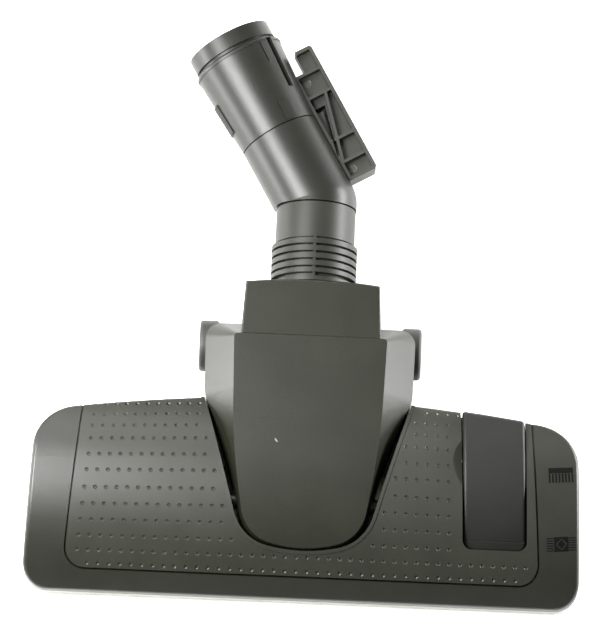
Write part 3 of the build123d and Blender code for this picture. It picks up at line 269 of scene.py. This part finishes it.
# Upper frame: the arched housing with the plain border round the panel.
# It is moulded in dark olive-grey ABS against a spark-eroded tool.
# The fine matte skin scatters light softly; its grain is drawn 0.7 mm wide so that it shows.
dress(
    moulded_plastic(
        "dark_grey_abs_spark_eroded", "1e1f18", "23241d", roughness=0.4, grain=0.7, relief=0.06
    ),
    "upper_frame",
)

# Icons: a brush for bare floors and a rug for carpets, beside the pedal's two ends.
# They are pad-printed in black ink on the housing's right border and follow its arch.
# The ink is a few hundredths of a millimetre in reality and 0.1 mm here, so that its edge shows.
# The brush's band and bars each give a width, a depth and a place in y.
ink_thickness = 0.1 * mm
icon_turn = math.radians(4.6)
print_height = 60 * mm
print_cuts = 5
brush_icon_place = Vector((127.5, 53.55, 0)) * mm
brush_band = (12.2 * mm, 2.8 * mm, 2.4 * mm)
brush_bar = (0.85 * mm, 4.6 * mm, -1.5 * mm)
brush_bar_pitch = 1.62 * mm
brush_bar_count = 8
rug_icon_place = Vector((129.1, 19.6, 0)) * mm
rug_width = 7.1 * mm
rug_depth = 6.9 * mm
rug_diamond_outer = 2.95 * mm
rug_diamond_inner = 2.2 * mm
fringe_length = 3.5 * mm
fringe_gap = 0.25 * mm
fringe_width = 0.5 * mm
fringe_pitch = 1.15 * mm
fringe_count = 6
ink = moulded_plastic(
    "black_pad_printing_ink", "050504", "080807", roughness=0.8, grain=0.6, relief=0.01, ior=1.22
)


def print_rectangle(size_x, size_y, x, y):
    """A flat rectangle of ink, in the icon's own place before it is laid on the housing."""
    bpy.ops.mesh.primitive_plane_add(size=1.0, location=(x, y, 0))
    piece = bpy.context.object
    piece.scale = (size_x, size_y, 1)
    bpy.ops.object.transform_apply(location=True, rotation=True, scale=True)
    return piece


def lay_print(name, pieces, place):
    """Joins an icon's pieces, turns it in line with the border and lays it on the arch as thin ink."""
    bpy.ops.object.select_all(action="DESELECT")
    for piece in pieces:
        piece.select_set(True)
    bpy.context.view_layer.objects.active = pieces[0]
    bpy.ops.object.join()
    icon = bpy.context.object
    icon.name = name
    icon.rotation_euler = (0, 0, icon_turn)
    icon.location = place + Vector((0, 0, print_height))
    bpy.ops.object.transform_apply(location=True, rotation=True, scale=True)
    bpy.ops.object.mode_set(mode="EDIT")
    bpy.ops.mesh.select_all(action="SELECT")
    bpy.ops.mesh.subdivide(number_cuts=print_cuts)
    bpy.ops.object.mode_set(mode="OBJECT")
    follow = icon.modifiers.new("follow_arch", "SHRINKWRAP")
    follow.target = nodes["upper_frame"]
    follow.wrap_method = "PROJECT"
    follow.use_project_z = True
    follow.use_negative_direction = True
    follow.use_positive_direction = False
    bpy.ops.object.modifier_apply(modifier=follow.name)
    coat = icon.modifiers.new("ink_coat", "SOLIDIFY")
    coat.thickness = ink_thickness
    coat.offset = 1.0
    bpy.ops.object.modifier_apply(modifier=coat.name)
    icon.data.materials.append(ink)
    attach(icon, "head")


bpy.ops.object.select_all(action="DESELECT")
brush_pieces = [print_rectangle(brush_band[0], brush_band[1], 0, brush_band[2])]
for index in range(brush_bar_count):
    bar_x = (index - (brush_bar_count - 1) / 2) * brush_bar_pitch
    brush_pieces.append(print_rectangle(brush_bar[0], brush_bar[1], bar_x, brush_bar[2]))
lay_print("brush_icon", brush_pieces, brush_icon_place)

rug = print_rectangle(rug_width, rug_depth, 0, 0)
bpy.ops.object.mode_set(mode="EDIT")
bpy.ops.mesh.select_all(action="SELECT")
bpy.ops.mesh.delete(type="ONLY_FACE")
bpy.ops.mesh.primitive_circle_add(vertices=4, radius=rug_diamond_outer)
bpy.ops.mesh.select_all(action="SELECT")
bpy.ops.mesh.bridge_edge_loops()
bpy.ops.mesh.primitive_circle_add(vertices=4, radius=rug_diamond_inner, fill_type="NGON")
bpy.ops.mesh.select_all(action="SELECT")
bpy.ops.mesh.normals_make_consistent(inside=False)
bpy.ops.object.mode_set(mode="OBJECT")
rug_pieces = [rug]
fringe_x = rug_width / 2 + fringe_gap + fringe_length / 2
for side in (-1, 1):
    for index in range(fringe_count):
        fringe_y = (index - (fringe_count - 1) / 2) * fringe_pitch
        rug_pieces.append(print_rectangle(fringe_length, fringe_width, side * fringe_x, fringe_y))
lay_print("rug_icon", rug_pieces, rug_icon_place)

# Dimple panel: the arched insert with rows of moulded dimples and a lip round the neck.
# It comes from the same ABS, a shade lighter, and snaps into its bed in the housing.
# The solid lacks the outermost rows and the dimples beside the lip, so they are cut into a copy.
# Each row gives its place in y, its lean, and where it begins and ends in x.
dimple_radius = 1.15 * mm
dimple_floor = 0.5 * mm
dimple_depth = 0.55 * mm
dimple_sides = 6
dimple_pitch = 5.5 * mm
dimple_lean = 0.06
dimple_lean_from = 79.0 * mm
dimple_edge_angle = math.radians(14)
dimple_rows = (
    (1.9 * mm, 0.0, -109.0 * mm, 109.0 * mm),
    (8.36 * mm, 0.0, -10.5 * mm, 10.5 * mm),
    (83.2 * mm, dimple_lean, -106.0 * mm, -50.0 * mm),
    (83.2 * mm, dimple_lean, 58.0 * mm, 76.0 * mm),
)
panel_front_half = 119.5 * mm
panel_front = -1.0 * mm
panel_taper = math.radians(4.6)
panel_fan_margin = 6.7 * mm
above_panel = 60 * mm
weld_distance = 0.001 * mm
panel_plastic = moulded_plastic(
    "dark_grey_abs_panel", "23241c", "2a2b23", roughness=0.42, grain=0.7, relief=0.05
)
dress(panel_plastic, "dimple_panel")
panel_node = nodes["dimple_panel"]
bpy.context.view_layer.update()
dimple_pits = []
for row, lean, begins, ends in dimple_rows:
    row_half = panel_front_half - (row - panel_front) * math.tan(panel_taper)
    pitch = dimple_pitch * (row_half - panel_fan_margin) / (panel_front_half - panel_fan_margin)
    for column in range(math.ceil(begins / pitch - 0.5), math.floor(ends / pitch - 0.5) + 1):
        x = (column + 0.5) * pitch
        y = row - lean * (abs(x) - dimple_lean_from)
        hit, spot, normal, face = panel_node.ray_cast(Vector((x, y, above_panel)), Vector((0, 0, -1)))
        if not hit:
            continue
        bpy.ops.object.select_all(action="DESELECT")
        bpy.ops.mesh.primitive_cone_add(
            vertices=dimple_sides,
            radius1=dimple_floor,
            radius2=2 * dimple_radius - dimple_floor,
            depth=2 * dimple_depth,
            location=spot,
            rotation=normal.to_track_quat("Z", "Y").to_euler(),
        )
        dimple_pits.append(bpy.context.object)
bpy.ops.object.select_all(action="DESELECT")
for pit in dimple_pits:
    pit.select_set(True)
bpy.context.view_layer.objects.active = dimple_pits[0]
bpy.ops.object.join()
dimple_cutter = bpy.context.object
bpy.ops.object.transform_apply(location=True, rotation=True, scale=True)
dimpled_panel = panel_node.copy()
dimpled_panel.data = panel_node.data.copy()
dimpled_panel.name = "dimpled_panel"
bpy.context.collection.objects.link(dimpled_panel)
bpy.ops.object.select_all(action="DESELECT")
dimpled_panel.select_set(True)
bpy.context.view_layer.objects.active = dimpled_panel
bpy.ops.object.mode_set(mode="EDIT")
bpy.ops.mesh.select_all(action="SELECT")
bpy.ops.mesh.remove_doubles(threshold=weld_distance)
bpy.ops.object.mode_set(mode="OBJECT")
pitting = dimpled_panel.modifiers.new("pits", "BOOLEAN")
pitting.operation = "DIFFERENCE"
pitting.solver = "EXACT"
pitting.object = dimple_cutter
bpy.ops.object.modifier_apply(modifier=pitting.name)
bpy.data.objects.remove(dimple_cutter)
bpy.ops.mesh.customdata_custom_splitnormals_clear()
bpy.ops.object.shade_smooth_by_angle(angle=dimple_edge_angle)
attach(dimpled_panel, "head")
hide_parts("dimple_panel")

# Rocker pedal: the foot switch that lowers the brush, on a steel pin across its well.
# It is moulded in the housing's ABS against a coarser tool, so it looks darker and duller.
dress(
    moulded_plastic(
        "dark_grey_abs_pedal", "171814", "1c1d19", roughness=0.5, grain=0.7, relief=0.06, ior=1.42
    ),
    "pedal",
)

# Neck arm: the tongue with its cheeks and block on top, and the tray below, snapped together.
# Both are polypropylene with a satin skin, which turns glossy where it is seen at a flat angle.
# A pale spot about 2.5 mm long is painted on the left half of the tongue's rear edge: a painted highlight
# where the light catches that edge.
painted_highlight_place = Vector((-15.1, 64.0, 45.0)) * mm
painted_highlight_size = Vector((1.3, 0.5, 6.0)) * mm
painted_highlight_turn = math.radians(-50)
painted_highlight_ragged = 0.8 * mm
painted_highlight_outer = 1.4
painted_highlight_inner = 1.2
mix_share = 0
mix_first = 6
mix_second = 7
mix_result = 2
neck_plastic = moulded_plastic(
    "dark_grey_polypropylene_satin", "1e1f17", "24251d",
    roughness=0.36, grain=0.9, relief=0.05, ior=1.46,
)
neck_tree = neck_plastic.node_tree
neck_shader = neck_tree.nodes["Principled BSDF"]
neck_colour = neck_shader.inputs["Base Color"].links[0].from_socket
neck_place = add_node(neck_tree, "ShaderNodeTexCoord").outputs["Object"]
# Painted highlight: a ragged spot round its place on the tongue's rear edge, mixed into the colour as pale
# grey.
painted_highlight_edge = add_node(
    neck_tree, "ShaderNodeTexNoise", {"Vector": neck_place, "Scale": 1 / painted_highlight_ragged, "Detail": 2.0}
)
painted_highlight_spot = add_node(
    neck_tree,
    "ShaderNodeMapping",
    {"Vector": neck_place, "Location": painted_highlight_place, "Rotation": (0, 0, painted_highlight_turn), "Scale": painted_highlight_size},
    vector_type="TEXTURE",
)
painted_highlight_reach = add_node(
    neck_tree, "ShaderNodeVectorMath", {"Vector": painted_highlight_spot.outputs["Vector"]}, operation="LENGTH"
)
painted_highlight_outline = add_node(
    neck_tree,
    "ShaderNodeMath",
    {0: painted_highlight_reach.outputs["Value"], 1: painted_highlight_edge.outputs["Fac"]},
    operation="ADD",
)
painted_highlight_share = add_node(
    neck_tree,
    "ShaderNodeMapRange",
    {"Value": painted_highlight_outline.outputs["Value"], "From Min": painted_highlight_outer, "From Max": painted_highlight_inner},
)
painted_highlight_mix = add_node(
    neck_tree,
    "ShaderNodeMix",
    {mix_share: painted_highlight_share.outputs["Result"], mix_first: neck_colour, mix_second: linear("87877f")},
    data_type="RGBA",
)
neck_tree.links.new(painted_highlight_mix.outputs[mix_result], neck_shader.inputs["Base Color"])
dress(neck_plastic, "neck_cover", "neck_tray")

# Wheels: dished black acetal hubs that run on steel stub axles in the tray's wells.
# A soft rubber tread is moulded round each; it is duller than the hub and a little dusty.
dress(
    moulded_plastic(
        "black_acetal_wheel", "1a1a19", "222221", roughness=0.4, grain=0.5, relief=0.02, ior=1.48
    ),
    "wheel_left",
    "wheel_right",
)
dress(
    moulded_plastic(
        "soft_black_rubber", "2b2b29", "373734", roughness=0.55, grain=0.6, relief=0.05
    ),
    "tread_left",
    "tread_right",
)

# Neck tube: the grooved collar with its swivel bush, and the elbow and connector that turn in it.
# All are polypropylene; the collar comes from a dull tool and looks evenly grey.
# The two tubes come from polished tools, so they are darker with long bright streaks.
dress(
    moulded_plastic(
        "dark_grey_polypropylene_dull", "1f201a", "25261f",
        roughness=0.45, grain=0.9, relief=0.03, ior=1.45,
    ),
    "ribbed_collar",
    "swivel_ring",
)
dress(
    moulded_plastic(
        "dark_grey_polypropylene_gloss", "191a15", "1f201a",
        roughness=0.38, grain=1.2, relief=0.015, ior=1.47,
    ),
    "elbow",
    "connector",
)

# Swivel seal: the ring gasket between the collar and the elbow's spigot.
# It is cut from a moulded tube of black rubber and looks dull and almost black.
dress(
    moulded_plastic(
        "black_seal_rubber", "101010", "191918", roughness=0.7, grain=0.5, relief=0.03
    ),
    "swivel_seal",
)

# Parking rail: the ribbed hook beside the elbow, clipped to it.
# It is moulded in polypropylene, paler and duller than the tubes.
# Two ejector pins have left round marks on the floors of its pockets.
rail_middle = Vector((-20.0, 227.89, 23.7)) * mm
elbow_bend = math.radians(30)
rail_along = Vector((-math.sin(elbow_bend), math.cos(elbow_bend), 0))
rail_side = Vector((math.cos(elbow_bend), math.sin(elbow_bend), 0))
rail_floor = 1.5 * mm
mark_radius = 2.0 * mm
mark_rim = 0.35 * mm
mark_height = 0.16 * mm
mark_sides = 28
mark_places = ((18.0 * mm, 25.2 * mm), (-32.4 * mm, 25.0 * mm))
upward = 0.9
rail_plastic = moulded_plastic(
    "dark_grey_polypropylene_rail", "2d2e28", "363731", roughness=0.45, grain=0.8, relief=0.04, ior=1.5
)
dress(rail_plastic, "parking_rail")
mark_plastic = moulded_plastic(
    "polypropylene_ejector_mark", "44453f", "4d4e48", roughness=0.35, grain=0.8, relief=0.02, ior=1.5
)
for number, (along, aside) in enumerate(mark_places, 1):
    spot = rail_middle + along * rail_along + aside * rail_side + Vector((0, 0, rail_floor))
    bpy.ops.object.select_all(action="DESELECT")
    bpy.ops.mesh.primitive_cylinder_add(
        vertices=mark_sides, radius=mark_radius, depth=2 * mark_height, location=spot
    )
    mark = bpy.context.object
    bpy.ops.object.transform_apply(location=True, rotation=True, scale=True)
    mark.name = f"ejector_mark_{number}"
    bpy.ops.object.mode_set(mode="EDIT")
    bpy.ops.mesh.select_all(action="DESELECT")
    bpy.ops.object.mode_set(mode="OBJECT")
    for face in mark.data.polygons:
        face.select = face.normal.z > upward
    bpy.ops.object.mode_set(mode="EDIT")
    bpy.ops.mesh.inset(thickness=mark_rim)
    bpy.ops.transform.translate(value=(0, 0, -mark_height / 2))
    bpy.ops.object.mode_set(mode="OBJECT")
    mark.data.materials.append(mark_plastic)
    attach(mark, "elbow")

# Camera: steeply from above the head's front edge, turned a little, as in the photograph.
# Its lens follows from the scale that the head has in the picture.
image_width = 600
camera_elevation = math.radians(75.0)
camera_roll = math.radians(2.45)
camera_distance = 3.294
pixels_per_metre = 1987.5
camera_target = Vector((-0.0058, 0.13099, 0.030))
sensor_width = 36.0
view = Vector((0, math.cos(camera_elevation), -math.sin(camera_elevation)))
view_up = Vector((0, math.sin(camera_elevation), math.cos(camera_elevation)))
across = Vector((1, 0, 0))
right = math.cos(camera_roll) * across + math.sin(camera_roll) * view_up
up = math.cos(camera_roll) * view_up - math.sin(camera_roll) * across
place = camera_target - camera_distance * view
camera_data = bpy.data.cameras.new("camera")
camera = bpy.data.objects.new("camera", camera_data)
bpy.context.collection.objects.link(camera)
camera_data.sensor_fit = "HORIZONTAL"
camera_data.sensor_width = sensor_width
camera_data.lens = pixels_per_metre * camera_distance * sensor_width / image_width
camera.matrix_world = Matrix(
    (
        (right.x, up.x, -view.x, place.x),
        (right.y, up.y, -view.y, place.y),
        (right.z, up.z, -view.z, place.z),
        (0, 0, 0, 1),
    )
)
bpy.context.scene.camera = camera

# Floor: a white light table, so that the steep sides mirror it.
# It is opal acrylic, lit from below and evenly bright.
floor_width = 6.0
floor_glow = 0.65
bpy.ops.object.select_all(action="DESELECT")
bpy.ops.mesh.primitive_plane_add(size=floor_width, location=(0, 0, 0))
floor = bpy.context.object
floor.name = "floor"
floor_material = bpy.data.materials.new("white_light_table")
floor_material.use_nodes = True
floor_shader = floor_material.node_tree.nodes["Principled BSDF"]
floor_shader.inputs["Base Color"].default_value = linear("fbfbf9")
floor_shader.inputs["Roughness"].default_value = 0.9
floor_shader.inputs["Emission Color"].default_value = linear("ffffff")
floor_shader.inputs["Emission Strength"].default_value = floor_glow
floor.data.materials.append(floor_material)

# Light: a soft box above the head's left end, one behind, and two low strips at the sides.
# The strips stand close above the table, so they reach the steep cheeks and wheels but hardly the top.
# Each row gives a lamp's name, place, aim, two sides and power.
room_glow = 0.15
for name, spot, aim, size_x, size_y, power in (
    ("soft_box_left", (-0.34, 0.09, 0.52), (-0.09, 0.06, 0.03), 0.3, 0.3, 9.5),
    ("soft_box_rear", (-0.30, 0.95, 0.80), (-0.05, 0.15, 0.02), 0.6, 0.6, 6.5),
    ("strip_left", (-0.50, 0.12, 0.06), (0, 0.10, 0.03), 0.3, 0.12, 2.1),
    ("strip_right", (0.55, 0.26, 0.13), (0, 0.18, 0.03), 0.6, 0.18, 7.5),
):
    lamp_data = bpy.data.lights.new(name, "AREA")
    lamp_data.shape = "RECTANGLE"
    lamp_data.size = size_x
    lamp_data.size_y = size_y
    lamp_data.energy = power
    lamp = bpy.data.objects.new(name, lamp_data)
    bpy.context.collection.objects.link(lamp)
    lamp.location = spot
    lamp.rotation_euler = (Vector(aim) - Vector(spot)).to_track_quat("-Z", "Y").to_euler()
    lamp.visible_camera = False
room = bpy.data.worlds.new("pale_room")
room.use_nodes = True
room.node_tree.nodes["Background"].inputs["Color"].default_value = linear("ffffff")
room.node_tree.nodes["Background"].inputs["Strength"].default_value = room_glow
bpy.context.scene.world = room
bpy.context.scene.view_settings.view_transform = "Standard"
